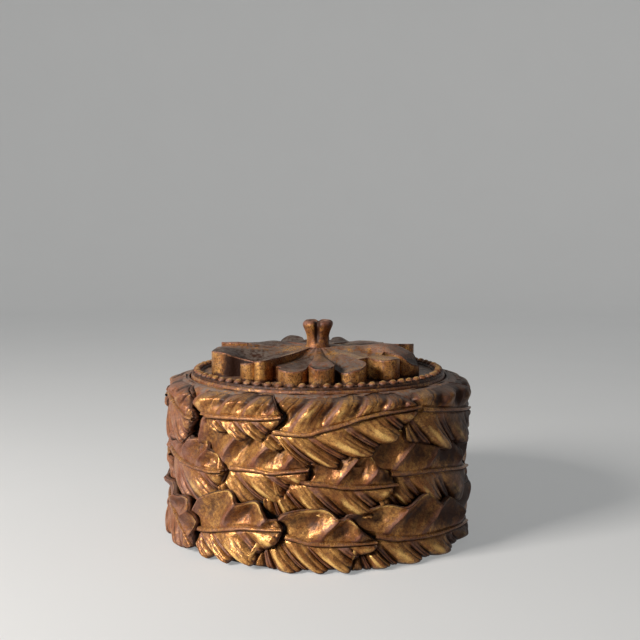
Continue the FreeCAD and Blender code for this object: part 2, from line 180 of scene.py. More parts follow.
# Leaves, laid out as in the CAD: tip bearing in degrees to the right of the front, and the
# shares of the course's height at which the midrib starts and ends.
UPPER_LEAVES = (
    (-84, 0.5, 0.6), (-52, 0.7, 0.48), (-13, 0.54, 0.74), (40, 0.26, 0.82), (82, 0.7, 0.5),
    (122, 0.4, 0.6), (162, 0.6, 0.5), (202, 0.4, 0.65), (240, 0.6, 0.5),
)
MIDDLE_LEAVES = (
    (-74, 0.5, 0.6), (-38, 0.64, 0.36), (-4, 0.4, 0.78), (31, 0.55, 0.2), (74, 0.32, 0.3),
    (116, 0.45, 0.6), (158, 0.6, 0.4), (200, 0.4, 0.6), (243, 0.6, 0.5),
)
LOWER_LEAVES = (
    (-53, 0.5, 0.4), (-13, 0.37, 0.64), (22, 0.5, 0.38), (75, 0.44, 0.4), (114, 0.45, 0.55),
    (153, 0.55, 0.45), (192, 0.45, 0.55), (231, 0.55, 0.45), (269, 0.45, 0.5),
)
MIDDLE_COURSE = 0.397 * RIM_UNDER
UPPER_COURSE = 0.726 * RIM_UNDER
COURSE_WAVE = 7.0
COURSE_WAVES = 5
WAVE_LOW = math.radians(3.5)
FLOOR_GAP = 1.0
TOP_GAP = 0.3
HALF_GAP = 0.4

# The leaves that the photograph shows, as (bearing in degrees, level): the midrib from root to tip,
# then the upper and the lower edge without the tip. Along an edge lobes and notches take turns, and
# the flag says whether a lobe is first.
SEEN_LEAVES = {
    "upper_leaf_2": (
        ((-84, 124), (-72, 121), (-61, 116), (-54, 112), (-49, 112)),
        (True, (-96, 120), (-88, 135), (-80, 136), (-72, 135), (-65, 136), (-58, 134), (-53, 131),
         (-51, 122), (-49, 117)),
        (True, (-98, 110), (-92, 94), (-84, 88), (-78, 92), (-73, 86), (-65, 91), (-58, 90), (-54, 99),
         (-51, 106))),
    "upper_leaf_3": (
        ((-43, 116), (-36, 117), (-27, 118), (-19, 119), (-12, 121)),
        (True, (-48, 124), (-45, 134), (-37, 136), (-31, 135), (-26, 136), (-21, 135), (-17, 135),
         (-14, 129)),
        (False, (-43, 112), (-36, 106), (-32, 107), (-27, 102), (-23, 106), (-19, 103), (-17, 109),
         (-13, 117))),
    "upper_leaf_4": (
        ((-15, 109), (-9, 108), (-3, 108), (1, 111), (8, 115), (15, 120), (23, 123), (31, 124), (37, 125)),
        (True, (-14, 122), (-11, 135), (-6, 136), (-1, 135), (4, 136), (9, 135), (13.5, 136), (18, 135),
         (22, 136), (26.5, 135), (30, 135), (33, 131)),
        (False, (-18, 105), (-14, 96), (-10, 97), (-4, 86), (-1, 87), (6, 84), (9, 91), (18, 92), (21, 98),
         (27, 103), (30, 111), (35, 119))),
    "upper_leaf_5": (
        ((39, 122), (46, 120), (56, 117), (68, 113), (82, 109)),
        (True, (36, 130), (40, 135), (48, 136), (55, 135), (62, 136), (69, 134), (76, 126)),
        (False, (36, 118), (33, 101), (43, 95), (55, 86), (60, 91), (70, 85), (78, 97))),
    "middle_leaf_2": (
        ((-80, 76), (-68, 74), (-55, 72), (-46, 72), (-41, 72), (-35, 74)),
        (False, (-92, 84), (-80, 93), (-70, 89), (-59, 92), (-52, 90), (-45, 91), (-42, 85), (-38, 82)),
        (True, (-96, 64), (-90, 48), (-82, 41), (-77, 44), (-71, 39), (-65, 42), (-56, 41), (-50, 45),
         (-42, 52), (-39, 61), (-36, 68))),
    "middle_leaf_3": (
        ((-32, 77), (-28, 78), (-21, 78), (-16, 77), (-10, 79), (-3, 81)),
        (True, (-52, 100), (-43, 111), (-34, 109), (-27, 102), (-21, 104), (-16, 94), (-10, 97), (-7, 90)),
        (False, (-32, 73), (-36, 58), (-31, 58), (-24, 50), (-19, 58), (-13, 59), (-10, 68), (-4, 74))),
    "middle_leaf_4": (
        ((-6, 72), (-3, 70), (3, 69), (8, 67), (15, 66), (23, 66), (28, 66)),
        (True, (-3, 80), (1, 86), (10, 89), (14, 84), (18, 86), (21, 77), (26, 73)),
        (False, (-10, 69), (-18, 53), (-13, 46), (-8, 44), (-2, 47), (6, 41), (9, 48), (19, 45), (21, 53),
         (27, 60))),
    "middle_leaf_5": (
        ((26, 74), (31, 73), (41, 72), (53, 69), (66, 64), (78, 60)),
        (False, (16, 90), (30, 103), (36, 94), (43, 96), (48, 86), (57, 87), (65, 77)),
        (False, (28, 67), (24, 50), (33, 47), (39, 44), (45, 48), (52, 43), (60, 44), (70, 40))),
    "lower_leaf_1": (
        ((-100, 36), (-84, 34), (-67, 26), (-58, 17), (-51, 6)),
        (False, (-104, 44), (-92, 52), (-82, 46), (-70, 48), (-62, 42), (-54, 43), (-50, 35), (-48, 26),
         (-49, 17)),
        (True, (-106, 24), (-98, 8), (-90, 3), (-83, 7), (-76, 2), (-69, 5), (-62, 2), (-56, 2))),
    "lower_leaf_2": (
        ((-48, 22), (-42, 24), (-32, 29), (-26, 32), (-20, 33), (-12, 34)),
        (True, (-50, 31), (-43, 49), (-32, 58), (-28, 49), (-21, 52), (-17, 41), (-14, 40)),
        (False, (-47, 18), (-42, 2), (-38, 6), (-33, 2), (-30, 7), (-23, 4), (-20, 15), (-14, 24))),
    "lower_leaf_3": (
        ((-11, 28), (-5, 25), (-3, 24), (4, 23), (12, 23), (20, 23)),
        (True, (-13, 38), (-9, 46), (2, 48), (7, 41), (11, 40), (15, 31)),
        (False, (-13, 24), (-23, 7), (-16, 2), (-9, 1), (-4, 3), (1, 1), (5, 4), (10, 2), (13, 12),
         (19, 18))),
    "lower_leaf_4": (
        ((20, 27), (27, 23), (36, 21), (47, 19), (56, 18), (74, 14)),
        (False, (12, 42), (25, 48), (32, 45), (42, 52), (48, 42), (55, 43), (63, 30)),
        (False, (20, 20), (12, 4), (18, 1), (23, 2), (28, 2), (36, 1), (42, 3), (52, 1), (60, 4),
         (69, 6))),
}

# Leaves out of the photograph's sight: sizes of the CAD's leaves and of their lobes.
TIP_LENGTH = 30.0
CAD_LEAN = 0.6
LEAF_GAP = 2.0
LOBE_PITCH = 24.0
LEAST_LOBES = 3
NOTCH_DRAW = 0.86
ROOT_FAN = 3
RIB_STEPS = 6
UPPER_LEAN = 0.7
LOWER_LEAN = 1.0


class Leaf:
    """Where one leaf lies on the drum: arc lengths are from the front, to the right."""

    def __init__(self, layout, floor, ceiling):
        bearing, self.start_share, self.end_share = layout
        self.floor = floor
        self.ceiling = ceiling
        self.tip_along = math.radians(bearing) * DRUM
        self.tip_level = self.level(self.tip_along, self.end_share)

    def level(self, along, share):
        return self.floor(along) + (self.ceiling(along) - self.floor(along)) * share

    def tip_front(self, level):
        shoulder = self.tip_along - TIP_LENGTH
        edge = self.ceiling(shoulder) if level > self.tip_level else self.floor(shoulder)
        room = abs(edge - self.tip_level)
        share = abs(level - self.tip_level) / room
        return self.tip_along - share * (TIP_LENGTH - CAD_LEAN * room)

    def root_front(self, level):
        along = self.before.tip_front(level) + LEAF_GAP
        return along - TURN * DRUM if along > self.tip_along else along

    def settle(self):
        behind = self.root_front(self.before.tip_level)
        self.root_level = self.level(behind, self.start_share)
        self.root_along = self.root_front(self.root_level)
        self.length = self.tip_along - self.root_along

    def midrib(self, share):
        along = self.root_along + self.length * share
        height_share = self.start_share + (self.end_share - self.start_share) * share
        at_root = self.root_level - self.level(self.root_along, self.start_share)
        return along, self.level(along, height_share) + at_root * (1 - share)

    def outline(self):
        """Midrib and edges in the manner of the leaves that the photograph shows."""
        lobes = max(LEAST_LOBES, round(self.length / LOBE_PITCH))
        rib = [self.midrib(step / RIB_STEPS) for step in range(RIB_STEPS + 1)]
        edges = []
        for side, line, lean, first in ((1, self.ceiling, UPPER_LEAN, True),
                                        (-1, self.floor, LOWER_LEAN, False)):
            spots = []
            for step in range(2 * lobes):
                share = step / (2 * lobes)
                along, level = self.midrib(share)
                narrowing = min(1.0, self.length * (1 - share) / TIP_LENGTH)
                is_lobe = first == (step % 2 == 0)
                width = abs(line(along) - level) * narrowing * (1.0 if is_lobe else NOTCH_DRAW)
                spread = min(1.0, ROOT_FAN * share)
                swept = self.root_front(level + side * width) - self.root_along
                spots.append((along + swept * (1 - spread) + lean * width * spread, level + side * width))
            spots.append(rib[-1])
            edges.append((first, spots))
        return rib, *edges


def course_line(mean, offset):
    return lambda along: mean - COURSE_WAVE * math.cos(COURSE_WAVES * (along / DRUM - WAVE_LOW)) + offset


def on_drum(along, level, height):
    return around(DRUM + height, FRONT + along / DRUM, level)


CURVE_PULL = 0.42


def curve(spots, places):
    """A smooth line through the spots, read at places counted in spots."""
    spots = np.asarray(spots, dtype=float)
    padded = np.vstack([spots[:1], spots, spots[-1:]])
    slopes = CURVE_PULL * (padded[2:] - padded[:-2])
    index = np.clip(np.floor(places).astype(int), 0, len(spots) - 2)
    part = (places - index)[..., None]
    a, b = spots[index], spots[index + 1]
    return (a * (2 * part ** 3 - 3 * part ** 2 + 1) + slopes[index] * (part ** 3 - 2 * part ** 2 + part)
            + b * (3 * part ** 2 - 2 * part ** 3) + slopes[index + 1] * (part ** 3 - part ** 2))


# Each course: how far it stands off the drum, how far its edges overreach, how far its wings rise.
COURSE_LIFT = {"upper": 1.4, "middle": 0.0, "lower": 1.2}
SIDE_TUCK = {"upper": 1.5, "middle": 5.0, "lower": 2.0}
EDGE_RISE = {"upper": (0.0, 1.0), "middle": (-3.5, -3.5), "lower": (1.0, 3.0)}

# An edge's first points are drawn back to the root, and its reach grows away from the midrib.
ROOT_TUCK = 4.0
TUCK_POINTS = 2
TUCK_ROOM = 15.0

# Above this level the upper leaves roll inward over the rim, and their relief and gleam fade.
SHOULDER = 129.0
SHOULDER_ROLL = 16.0
ROLL_POWER = 2.2
SHOULDER_FADE = 0.8
FADE_BELOW = 6
FADE_OVER = 13
DULL_ABOVE = SHOULDER + 3
DULL_OVER = 8

# More gold is lost on the left side, and painted shade darkens the right side: how much, and where.
SIDE_WEAR = 0.5
WORN_SIDE = -74.0
SIDE_SHADE = 0.7
SHADED_SIDE = 72.0
SIDE_SPREAD = 27.0

# The turned-down edge of a leaf: steps outward and down from its face, then under it into the drum.
LEAF_LIP = ((0.5, 0.6), (0.7, 1.8), (0.5, 3.4), (-0.6, 5.0))
LEAF_FOOT = -3.0
FOOT_DROP = 5.0
FOOT_SINK = -0.4

# Leaves stay this far outside the rim's inner face, so that none shows in the lid's seat.
RIM_KEEP = 3.0
LEAF_FLOOR = RIM_INNER + RIM_KEEP - DRUM

# How far back past the root the carving's lines run, how deep the root lies, how edges round off.
BACK_SHARE = 0.5
BACK_SAMPLES = np.concatenate([np.linspace(-BACK_SHARE, -0.02, 20), np.linspace(0, 1, 200)])
ROOT_SINK = 3.0
ROOT_SPAN = 0.5
EDGE_ROLL = 2.0
ROLL_WIDTH = 1.3

# Grooves along the edges that lie over a leaf: depth, widths, how they thin, and their walls.
GROOVE_DEPTH = 5.0
TIP_GROOVE = 3.4
SIDE_GROOVE = 1.3
GROOVE_TAPER = 22.0
GROOVE_WALL = 1.5
GROOVE_SEARCH = 6.0
TIP_REACH = 45.0
EDGE_SAMPLES = 30

# The face's height at the root and the tip, the midrib's size and taper, and the grooves beside it.
LEAF_ROOT = 7.0
LEAF_TIP = 11.0
LEAF_SWELL = 0.8
RIB_HALF = 2.3
RIB_TALL = 3.1
RIB_TAPER = 1.1
RIB_SINK = 0.9
RIB_STREAK = 12
RIB_SAMPLES = 90
RIB_SIDES = 9
RIB_GROOVES = {"steps": -1.2, "scoops": -1.2, "pillows": -2.4}
RIB_GROOVE = (0.5, 0.9)


def back_line(rib, share):
    """The midrib at shares of its length, drawn on straight before its root."""
    line = curve(rib, np.maximum(share, 0.0) * (len(rib) - 1))
    start = np.asarray(rib[1]) - np.asarray(rib[0])
    length = rib[-1][0] - rib[0][0]
    return line + np.minimum(share, 0.0)[:, None] * length * start / np.linalg.norm(start)


def rib_base(share):
    return LEAF_ROOT + (LEAF_TIP - LEAF_ROOT) * share ** LEAF_SWELL


def rib_half(share):
    return RIB_HALF - RIB_TAPER * share


def near_bearing(along, bearing):
    """1 at a bearing on the drum, fading to 0 on both sides of it."""
    off = (np.degrees(along / DRUM) - bearing + 180) % 360 - 180
    return bell(off, 0, SIDE_SPREAD)


def grooved(flat, lines):
    """How far into the grooves along other leaves' edges each point lies, 0 to 1."""
    spots = flat.reshape(-1, 2)
    low = spots[:, 0].min() - GROOVE_SEARCH
    high = spots[:, 0].max() + GROOVE_SEARCH
    depth = np.zeros(len(spots))
    for line, widths in lines:
        near = (line[:, 0] > low) & (line[:, 0] < high)
        if near.any():
            apart = np.linalg.norm(spots[:, None, :] - line[near][None, :, :], axis=2)
            depth = np.maximum(depth, np.max(GROOVE_WALL - apart / widths[near][None, :], axis=1))
    return np.clip(depth, 0, 1).reshape(flat.shape[:2])


def edge_line(edge, from_tip, width, thin):
    """Points along an edge back from its tip, with the width of the groove beside each."""
    spots = np.asarray(edge[1], dtype=float)
    line = curve(spots, np.linspace(0, len(spots) - 1, EDGE_SAMPLES * len(spots)))[::-1]
    steps = np.linalg.norm(np.diff(line, axis=0), axis=1)
    back = np.concatenate([[0.0], np.cumsum(steps)])
    kept = back <= from_tip
    return line[kept], width + (thin - width) * smooth(back[kept] / GROOVE_TAPER)


def row_starts(rib, spots, lean):
    """Shares of the midrib at which the rows to the spots of an edge start."""
    line = back_line(rib, BACK_SAMPLES)
    order = np.argsort(line[:, 0])
    level_under = np.interp(spots[:, 0], line[order, 0], line[order, 1])
    feet = spots[:, 0] - lean * np.abs(spots[:, 1] - level_under)
    starts = np.interp(feet, line[order, 0], BACK_SAMPLES[order])
    starts[-1] = 1.0
    return np.maximum.accumulate(starts)


# Carvings of a wing: each gives its relief, bole, painted shade and painted highlight (gleam) from the
# beat of the rows, which is 1 at lobes and 0 or 2 at notches. Pairs are the middle and the spread of
# a line or a shade.
FOLD_DEPTH = 0.9
STEP_HEIGHT = 8.5
STEP_START = 0.75
STEP_CREST = 0.18
STEP_FALL = 0.68
STEP_FOOT = 0.86
STEP_RISE = 0.14
STEP_WEAR = 0.06
STEP_FOLD = (0.52, 0.03)
STEP_SHADE = (0.8, 0.13)
STEP_GLEAM = (0.24, 0.12)


def stepped(beat, swell, amount, level):
    """A tilted step at each lobe."""
    phase = beat / 2
    rising = STEP_START + (1 - STEP_START) * smooth(phase / STEP_CREST)
    tilt = rising - smooth((phase - STEP_CREST) / STEP_FALL)
    step = np.where(phase < STEP_FOOT, tilt, STEP_START * smooth((phase - STEP_FOOT) / STEP_RISE))
    fold = bell(phase, *STEP_FOLD)
    relief = amount * swell * STEP_HEIGHT * (step - 0.5) - FOLD_DEPTH * amount * swell * fold
    bole = bell(np.minimum(phase, 1 - phase), 0, STEP_WEAR)
    painted_shade = (0.9 * bell(phase, *STEP_SHADE) + 0.6 * fold) * swell
    gleam = bell(phase, *STEP_GLEAM) * swell * smooth((DULL_ABOVE - level) / DULL_OVER)
    return relief, bole, painted_shade, gleam


SCOOP_SHARP = 1.6
SCOOP_DEPTH = 10.5
SCOOP_MEAN = 0.45
SCOOP_SHADE = 0.75
CURL_HEIGHT = 6.0
CURL_GLEAM = 2.2


def scooped(beat, swell, amount, out, inside):
    """A hollow at each lobe, and a curled edge."""
    to_lobe = np.abs(beat - 1)
    ridge = to_lobe ** SCOOP_SHARP
    hollow = 1 - ridge
    relief = amount * (SCOOP_DEPTH * swell * (ridge - SCOOP_MEAN) + CURL_HEIGHT * out ** 4 * hollow)
    bole = to_lobe ** 7 * np.minimum(1, 3 * (1 - out) + 0.5)
    painted_shade = SCOOP_SHADE * (swell * hollow) * (1 - out ** 3)
    gleam = hollow * np.exp(-inside / CURL_GLEAM)
    return relief, bole, painted_shade, gleam


PILLOW_HALF = 0.74
PILLOW_HEIGHT = 7.2
PILLOW_SINK = 4.0
PILLOW_DROP = 1.2
PILLOW_FOLD = (0.36, 0.06)
PILLOW_SHADE = (0.76, 0.07)
PILLOW_GLEAM = (-0.22, 0.26)
VEIN_HALF = 0.24
VEIN_HEIGHT = 4.4
SPLIT_HALF = 0.06
SPLIT_DEPTH = 1.1


def pillowed(beat, swell, amount, out):
    """A pillow at each lobe, and a split vein at each notch."""
    aside = beat - 1
    to_lobe = np.abs(aside)
    vein = dome(to_lobe, 1, VEIN_HALF)
    split = bell(to_lobe, 1, SPLIT_HALF)
    fold = bell(aside, *PILLOW_FOLD)
    raised = PILLOW_HEIGHT * dome(to_lobe, 0, PILLOW_HALF) + VEIN_HEIGHT * vein - PILLOW_SINK
    raised = raised - SPLIT_DEPTH * split - FOLD_DEPTH * fold
    relief = amount * (swell * raised - PILLOW_DROP * out ** 5)
    painted_shade = (0.9 * bell(to_lobe, *PILLOW_SHADE) + 0.8 * split + 0.6 * fold) * swell
    gleam = bell(aside, *PILLOW_GLEAM) * swell * (1 - 0.6 * out ** 6)
    return relief, 0.4 * vein, painted_shade, gleam


# A wing's grid: rows for each point of its edge, columns that crowd to it, and the rows' bow.
ROWS_PER_POINT = 20
WING_COLUMNS = 28
CROWDING = 0.4
BOW = 0.07

# Relief is full on wings as wide as this, fades to the tip, and swells out from the midrib.
FULL_WIDTH = 18.0
TIP_FADE = 6
TIP_RELIEF = 0.2
SWELL_SHARE = 0.7
LEAST_HEIGHT = 1.6

# Unevenness of the carving: height, waves for each point of the edge, waves across the wing.
WANDERS = ((0.6, 0.33, 0.5), (0.25, 1.7, 2.3))

# Painted shade at the root and along the edges, and the run of the gilding's streaks.
ROOT_SHADE = 0.9
EDGE_SHADE = 0.8
EDGE_SHADE_WIDTH = 1.1
STREAK_ACROSS = 0.35
STREAK_APART = 9


def wing_lip(flat, height, masks, border, side):
    """Points and masks of the rings that turn the border of a wing down and under."""
    loop = flat.reshape(-1, 2)[border]
    loop_height = height.ravel()[border]
    outward = left_of(np.gradient(loop, axis=0)) * side
    rings = [(step, np.maximum(loop_height - drop, LEAF_FLOOR)) for step, drop in LEAF_LIP]
    rings.append((LEAF_FOOT, np.clip(loop_height - FOOT_DROP, LEAF_FLOOR, FOOT_SINK)))
    points = []
    lip_masks = []
    for number, (step, ring_height) in enumerate(rings):
        spot = loop + outward * step
        points.append(on_drum(spot[:, 0], spot[:, 1], ring_height))
        # Painted shade on the lip, and painted gap shadow on its rings under the edge.
        deep = np.clip((number - 1) / 2, 0, 1)
        lip_masks.append(masks[border])
        lip_masks[-1][:, :4] = (0.5 * (1 - deep), 0.5, deep, 0.0)
    return points, lip_masks


def wing(rib, edge, style, lift, rise, chance, lines):
    """One side of a leaf: points, faces and masks of its face and its turned-down edge."""
    upper = style != "pillows"
    first_is_lobe, spots = edge
    spots = np.asarray(spots, dtype=float)
    rows = (len(spots) - 1) * ROWS_PER_POINT + 1
    places = np.linspace(0, len(spots) - 1, rows)
    starts = row_starts(rib, spots, UPPER_LEAN if upper else LOWER_LEAN)
    share = np.interp(places, np.arange(len(spots)), starts)
    middle = back_line(rib, share)
    stretch = curve(spots, places) - middle
    share = np.maximum(share, 0.0)[:, None]
    place = places[:, None]
    out = np.linspace(0, 1, WING_COLUMNS)
    out = out * (1 + CROWDING - CROWDING * out)
    width = np.maximum(np.linalg.norm(stretch, axis=1), 0.01)[:, None]
    inside = (1 - out) * width
    flat = middle[:, None, :] + stretch[:, None, :] * out[:, None]
    flat[..., 0] -= BOW * width * 4 * out * (1 - out)
    along, level = flat[..., 0], flat[..., 1]

    beat = ((place if first_is_lobe else place + 1) + 1) % 2
    amount = np.minimum(1.0, width / FULL_WIDTH) * smooth((1 - share) * TIP_FADE + TIP_RELIEF)
    swell = smooth(out / SWELL_SHARE)
    if style == "steps":
        relief, bole, painted_shade, gleam = stepped(beat, swell, amount, level)
    elif style == "scoops":
        relief, bole, painted_shade, gleam = scooped(beat, swell, amount, out, inside)
    else:
        relief, bole, painted_shade, gleam = pillowed(beat, swell, amount, out)

    cut = grooved(flat, lines)
    root = bell(place, 0, ROOT_SPAN)
    sunk = ROOT_SINK * root + EDGE_ROLL * np.exp(-inside / ROLL_WIDTH) + GROOVE_DEPTH * cut
    groove = RIB_GROOVES[style] * bell(out * width - rib_half(share), *RIB_GROOVE)
    drift = chance.uniform(0, 1, 3)
    slow, quick = (tall * np.sin(TURN * (far * place + out * wide + start))
                   for (tall, far, wide), start in zip(WANDERS, drift))
    rolled = np.maximum((level - SHOULDER) / (RIM_TOP - SHOULDER), 0.0) ** ROLL_POWER
    relief = relief * (1 - SHOULDER_FADE * smooth((level - SHOULDER + FADE_BELOW) / FADE_OVER))
    height = rib_base(share) + lift + groove + (slow + quick * swell) + rise * out ** 2 + relief - sunk
    height = np.maximum(height, LEAST_HEIGHT) - SHOULDER_ROLL * rolled
    height = np.maximum(height, LEAF_FLOOR)

    # Painted shade along the edges, at the root and on the right side.
    edge_shade = EDGE_SHADE * np.exp(-inside / EDGE_SHADE_WIDTH) * (1 - gleam)
    painted_shade = np.clip(painted_shade + ROOT_SHADE * root + edge_shade, 0, 1)
    painted_shade = np.clip(painted_shade + SIDE_SHADE * near_bearing(along, SHADED_SIDE), 0, 1)
    gleam = np.clip(gleam * amount * (1 - root) * (1 - cut), 0, 1)
    bole = np.clip(bole + SIDE_WEAR * near_bearing(along, WORN_SIDE), 0, 1)
    # Masks: worn bole, painted shade, painted gap shadow in the grooves, painted highlight, then the
    # streaks.
    masks = table(bole, painted_shade, cut, gleam, place, STREAK_ACROSS * out, STREAK_APART * drift[2])

    border = grid_border(rows, WING_COLUMNS)[:rows + WING_COLUMNS - 1]
    lip_points, lip_masks = wing_lip(flat, height, masks, border, 1 if upper else -1)
    loops = ring_loops(border, len(masks), len(lip_points))
    faces = grid_faces(rows, WING_COLUMNS) + strips(loops, closed=False)
    points = np.concatenate([on_drum(along, level, height)] + lip_points)
    return points, flipped(faces) if upper else faces, np.concatenate([masks] + lip_masks)


def rib_cord(rib, lift):
    """The midrib: a rounded cord that thins to the tip."""
    share = np.linspace(0, 1, RIB_SAMPLES)[:, None]
    line = curve(rib, share[:, 0] * (len(rib) - 1))
    normal = left_of(np.gradient(line, axis=0))
    angle = np.linspace(0, math.pi, RIB_SIDES)
    flat = line[:, None, :] + normal[:, None, :] * (rib_half(share) * np.cos(angle))[..., None]
    tall = RIB_TALL - RIB_TAPER * share
    height = rib_base(share) + lift - RIB_SINK + tall * np.sin(angle) ** 0.8
    crest = 0.3 * np.sin(angle) ** 3
    # Painted highlight along the cord's upper side and painted shade on its lower side; its top is worn.
    gleam = 0.45 * bell(angle, 1.0, 0.4)
    shade_mask = np.clip(-1.2 * np.cos(angle), 0, 1)
    masks = table(crest, shade_mask, 0.0, gleam, RIB_STREAK * share, 0.0, 0.0)
    return on_drum(flat[..., 0], flat[..., 1], height), flipped(grid_faces(RIB_SAMPLES, RIB_SIDES)), masks


def tucked(rib, edge, reach):
    """An edge with its root drawn under the leaf before and its side under the next course."""
    first_is_lobe, spots = edge
    moved = []
    for number, (along, level) in enumerate(spots):
        room = level - np.interp(along, *zip(*rib))
        back = ROOT_TUCK * max(0.0, 1 - number / TUCK_POINTS)
        aside = math.copysign(min(1.0, abs(room) / TUCK_ROOM) * reach, room)
        moved.append((along - back, level + aside))
    moved[-1] = spots[-1]
    return first_is_lobe, moved


def leaf_object(name, shape, course, lines, seed):
    chance = np.random.default_rng(seed)
    rib, upper_edge, lower_edge = shape
    upper_edge = tucked(rib, upper_edge, 0.0 if course == "upper" else SIDE_TUCK[course])
    lower_edge = tucked(rib, lower_edge, 0.0 if course == "lower" else SIDE_TUCK[course])
    lift = COURSE_LIFT[course]
    upper_rise, lower_rise = EDGE_RISE[course]
    upper_style = "steps" if course == "upper" else "scoops"
    upper_wing = wing(rib, upper_edge, upper_style, lift, upper_rise, chance, lines)
    lower_wing = wing(rib, lower_edge, "pillows", lift, lower_rise, chance, lines)
    return new_object(name, *joined([upper_wing, lower_wing, rib_cord(rib, lift)]))


def on_arc(spots):
    return [(math.radians(bearing) * DRUM, level) for bearing, level in spots]


def course_shapes(course, layouts, floor, ceiling):
    """Midrib, upper edge and lower edge of each leaf of a course."""
    leaves = [Leaf(layout, floor, ceiling) for layout in layouts]
    for number, leaf in enumerate(leaves):
        leaf.before = leaves[number - 1]
        leaf.settle()
    shapes = []
    for number, leaf in enumerate(leaves, start=1):
        node = f"{course}_leaf_{number}"
        if node in SEEN_LEAVES:
            rib, *edges = SEEN_LEAVES[node]
            shapes.append((on_arc(rib), *((lobe, on_arc((*spots, rib[-1]))) for lobe, *spots in edges)))
        else:
            shapes.append(leaf.outline())
    return shapes


def leaf_course(course, shapes, over, material):
    """The leaves of a course, each grooved along the leaf before it and the edges over it."""
    for number, shape in enumerate(shapes, start=1):
        edges_before = shapes[number - 2][1:]
        lines = [edge_line(edge, TIP_REACH, TIP_GROOVE, SIDE_GROOVE) for edge in edges_before]
        lines += [edge_line(edge, math.inf, SIDE_GROOVE, SIDE_GROOVE) for edge in over]
        turned = [(line + (shift * TURN * DRUM, 0), widths)
                  for line, widths in lines for shift in (-1, 0, 1)]
        node = f"{course}_leaf_{number}"
        obj = leaf_object(f"{node}_carved", shape, course, turned, seed=len(course) * 100 + number)
        obj.data.materials.append(material)
        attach(obj, "bowl")
        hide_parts(node)


# Petals of the lid, from the front one to the right: the web between the lobes, the lobes as (degrees
# off the middle, half width in degrees, share of the reach), the degrees of the heights, and the
# heights as shares, along lines across the top outside its root.
PETALS = (
    (0.81, ((-14.8, 9.2, 1.0), (2.3, 7.5, 1.01), (21, 8.5, 1.0)),
     (-30, -16, -7, -4.8, 2.5, 9.6, 11.8, 20, 30),
     ((0.56, 0.53, 0.54, 0.64, 0.68, 0.64, 0.58, 0.66, 0.73),
      (0.51, 0.46, 0.47, 0.63, 0.67, 0.63, 0.46, 0.56, 0.67),
      (0.52, 0.45, 0.47, 0.62, 0.65, 0.62, 0.36, 0.48, 0.60),
      (0.53, 0.44, 0.46, 0.54, 0.52, 0.52, 0.30, 0.43, 0.56))),
    (0.74, ((-13.3, 7.6, 1.0), (9, 10.5, 1.03)),
     (-30, -21, -13, -5, 2, 9, 17, 24, 30),
     ((0.73, 0.76, 0.75, 0.74, 0.84, 0.90, 0.91, 0.90, 0.88),
      (0.67, 0.70, 0.68, 0.72, 0.93, 1.0, 0.98, 0.92, 0.88),
      (0.60, 0.66, 0.71, 0.70, 0.74, 0.74, 0.70, 0.68, 0.70),
      (0.56, 0.66, 0.69, 0.60, 0.45, 0.34, 0.32, 0.40, 0.50))),
    (0.81, ((-19, 8, 0.98), (0, 7, 0.94), (18.5, 8.5, 0.98)),
     (-30, -23, -15, -7, 0, 7, 15, 23, 30),
     ((0.84, 0.81, 0.76, 0.79, 0.73, 0.77, 0.74, 0.77, 0.75),
      (0.90, 0.88, 0.82, 0.80, 0.73, 0.78, 0.74, 0.78, 0.76),
      (0.88, 0.86, 0.82, 0.78, 0.72, 0.74, 0.71, 0.71, 0.66),
      (0.86, 0.84, 0.81, 0.76, 0.71, 0.71, 0.69, 0.66, 0.60))),
    (0.81, ((-17, 7, 0.97), (0, 8, 0.99), (19, 8, 0.98)),
     (-30, -21, -14, -7, 0, 7, 14, 21, 30),
     ((0.80, 0.80, 0.78, 0.76, 0.75, 0.76, 0.78, 0.80, 0.80),
      (0.74, 0.72, 0.70, 0.69, 0.70, 0.69, 0.70, 0.72, 0.74),
      (0.58, 0.66, 0.80, 0.84, 0.84, 0.84, 0.84, 0.82, 0.64),
      (0.50, 0.60, 0.87, 0.90, 0.90, 0.90, 0.90, 0.88, 0.60))),
    (0.81, ((-19, 8, 0.98), (0, 7, 0.95), (18.5, 8.5, 0.99)),
     (-30, -23, -15, -7, 0, 7, 15, 23, 30),
     ((0.75, 0.79, 0.74, 0.80, 0.74, 0.80, 0.76, 0.81, 0.83),
      (0.76, 0.79, 0.76, 0.80, 0.78, 0.85, 0.86, 0.93, 0.97),
      (0.66, 0.70, 0.71, 0.76, 0.76, 0.83, 0.87, 0.93, 0.95),
      (0.60, 0.66, 0.69, 0.73, 0.75, 0.81, 0.87, 0.92, 0.94))),
    (0.70, ((-14, 10.8, 1.06), (15.7, 5.7, 0.985), (25.6, 4, 0.975)),
     (-30, -22, -14, -5, 2, 9, 16, 23, 30),
     ((0.83, 0.76, 0.72, 0.69, 0.67, 0.67, 0.69, 0.72, 0.76),
      (0.97, 0.84, 0.66, 0.50, 0.46, 0.47, 0.52, 0.62, 0.71),
      (0.82, 0.86, 0.84, 0.72, 0.54, 0.50, 0.54, 0.64, 0.71),
      (0.70, 0.74, 0.79, 0.80, 0.62, 0.55, 0.58, 0.66, 0.72))),
)
PETAL_ROOT = 0.83
LINE_PLACES = (0.1, 0.4, 0.7, 0.9, 1.0)
PETAL_REACH = 89.0
PETAL_HEIGHT = 26.0
PETAL_SECTOR = 60.0
PETAL_KERF = 0.35
PETAL_HEART = 8.0
PETAL_ROWS = 44
PETAL_COLUMNS = 161
PETAL_LIP = ((0.12, 0.2, 0.6), (0.25, 0.7, 0.4), (0.25, 1.6, 0.0))
PETAL_WALL = (0.4, 0.75, 1.0)
PETAL_BLUR = 5
GOUGE_MARK = 0.35
LOW_TOP = 0.66 * PETAL_HEIGHT
WALL_GLEAM = 0.35
FOOT_SHADE = 4.0

